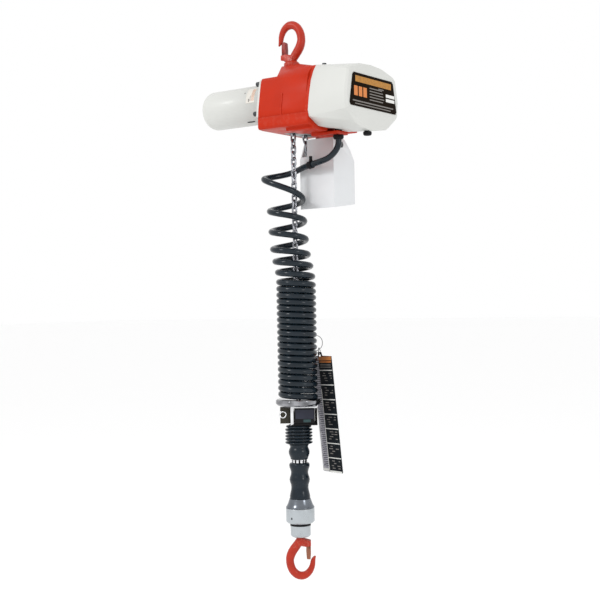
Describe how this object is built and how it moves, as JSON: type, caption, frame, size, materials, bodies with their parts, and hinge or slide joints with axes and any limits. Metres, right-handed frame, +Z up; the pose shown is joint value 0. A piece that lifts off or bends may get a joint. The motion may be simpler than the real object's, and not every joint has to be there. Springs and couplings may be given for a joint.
{
  "type": "chain hoist",
  "caption": "Electric chain hoist with motor, gear case, hooks, chain container, coiled control cord and a grip handle with a quick coupler.",
  "frame": {"origin": "seat of the top hook, where the suspension bears", "axes": "+Z up along the load line, motor towards -X, control cover towards +X, front towards -Y"},
  "size_m": [0.3481, 0.165, 0.9216],
  "materials": {
    "case_red": "satin orange-red paint",
    "hook_red": "satin red-orange paint",
    "latch_red": "dark red paint",
    "latch_tan": "tan plated steel",
    "cover_white": "off-white textured paint",
    "plate_black": "black film plate",
    "plate_grey": "printed aluminium plate",
    "screw_steel": "blackened steel",
    "gear_steel": "machined steel",
    "cast_alu": "as cast",
    "copper": "enamelled copper winding",
    "board": "green board",
    "dark_plastic": "dark moulding",
    "chain_steel": "zinc-plated",
    "tray_plastic": "pale plastic",
    "cord_black": "glossy black sheath",
    "grip_black": "black rubber",
    "chrome": "polished",
    "cup_alu": "satin",
    "olive": "olive-dark moulding",
    "wire": "thin wire",
    "tag_black": "laminated black tag",
    "tag_grey": "laminated grey tag"
  },
  "bodies": {
    "hoist": {"gear_case": "case_red", "lower_case": "case_red", "end_plate": "cast_alu", "gear_plate": "cast_alu", "bearings": "gear_steel", "chain_guide": "cast_alu", "container_lugs": "case_red", "motor_flange": "cover_white", "flange_bolts": "screw_steel", "motor_shield": "cast_alu", "motor_cover": "cover_white", "motor_plate": "plate_grey", "stator": "copper", "control_cover": "cover_white", "cover_screws": "screw_steel", "cover_plate": "plate_black", "circuit_board": "board", "contactor": "dark_plastic", "brake_coil": "copper", "cord_bracket": "case_red", "cord_gland": "dark_plastic", "power_inlet": "dark_plastic", "wrapped_chain": "chain_steel", "load_chain": "chain_steel", "slack_chain": "chain_steel", "chain_pile": "chain_steel", "chain_container": "tray_plastic", "container_pin": "screw_steel", "control_lead": "cord_black", "cord_clamp": "dark_plastic", "coil_open": "cord_black"},
    "top_hook": {"top_hook": "hook_red", "hook_nut": "screw_steel"},
    "top_latch": {"top_latch": "latch_red"},
    "sheave": {"sheave": "gear_steel", "load_gear": "gear_steel"},
    "idler": {"idler_gears": "gear_steel"},
    "rotor": {"rotor": "gear_steel", "brake_disc": "gear_steel"},
    "handle": {"lower_chain": "chain_steel", "coil_stack": "cord_black", "coil_flange": "chrome", "switch_frame": "chrome", "switch_body": "dark_plastic", "chain_connector": "gear_steel", "bellows": "grip_black", "grip_tube": "gear_steel", "upper_grip": "grip_black", "grip_ring": "chrome", "lower_grip": "grip_black", "coupler_cup": "cup_alu", "coupler_collar": "cup_alu", "tag_loop": "wire"},
    "control_lever": {"control_lever": "olive"},
    "coupler_sleeve": {"coupler_sleeve": "cup_alu"},
    "bottom_hook": {"bottom_hook": "hook_red"},
    "bottom_latch": {"bottom_latch": "latch_tan"},
    "tags": {"tag_ring": "wire", "warning_tag": "tag_black", "text_tag": "tag_grey"}
  },
  "joints": [
    {"name": "load_lift", "type": "slide", "parent": "hoist", "child": "handle", "axis": [0, 0, 1], "range_m": [-0.08, 0.1], "deforming": ["coil_open", "lower_chain"]},
    {"name": "top_hook_swivel", "type": "hinge", "parent": "hoist", "child": "top_hook", "pos_m": [0, 0, -0.07], "axis": [0, 0, 1], "continuous": true},
    {"name": "top_latch_pivot", "type": "hinge", "parent": "top_hook", "child": "top_latch", "pos_m": [-0.01238, -0.00174, -0.047], "axis": [-0.1392, 0.9903, 0], "range_deg": [0, 25], "stiffness_Nm_per_rad": 0.02, "springref_deg": -28.65},
    {"name": "sheave_spin", "type": "hinge", "parent": "hoist", "child": "sheave", "pos_m": [0, 0.01625, -0.114], "axis": [1, 0, 0], "continuous": true},
    {"name": "idler_spin", "type": "hinge", "parent": "hoist", "child": "idler", "pos_m": [0.05, -0.01382, -0.12495], "axis": [1, 0, 0], "continuous": true},
    {"name": "rotor_spin", "type": "hinge", "parent": "hoist", "child": "rotor", "pos_m": [0, 0.01625, -0.114], "axis": [1, 0, 0], "continuous": true},
    {"name": "control_tilt", "type": "hinge", "parent": "handle", "child": "control_lever", "pos_m": [-0.01618, -0.01176, -0.635], "axis": [0.809, 0.5878, 0], "range_deg": [-10, 10], "stiffness_Nm_per_rad": 0.3},
    {"name": "sleeve_slide", "type": "slide", "parent": "handle", "child": "coupler_sleeve", "axis": [0, 0, -1], "range_m": [0, 0.006], "stiffness_N_per_m": 300, "springref_m": -0.004},
    {"name": "bottom_hook_swivel", "type": "hinge", "parent": "handle", "child": "bottom_hook", "pos_m": [0, 0, -0.82], "axis": [0, 0, 1], "continuous": true},
    {"name": "bottom_latch_pivot", "type": "hinge", "parent": "bottom_hook", "child": "bottom_latch", "pos_m": [0.01011, 0.00735, -0.848], "axis": [-0.5878, 0.809, 0], "range_deg": [0, 25], "stiffness_Nm_per_rad": 0.02, "springref_deg": -28.65},
    {"name": "tag_swing", "type": "hinge", "parent": "handle", "child": "tags", "pos_m": [0.01902, 0.03422, -0.5305], "axis": [0.5878, -0.809, 0], "range_deg": [0, 30]}
  ],
  "couplings": [
    {"joint": "sheave_spin", "follows": "load_lift", "rad_per_m": -61.538},
    {"joint": "idler_spin", "follows": "load_lift", "rad_per_m": 184.62},
    {"joint": "rotor_spin", "follows": "load_lift", "rad_per_m": -553.85}
  ]
}
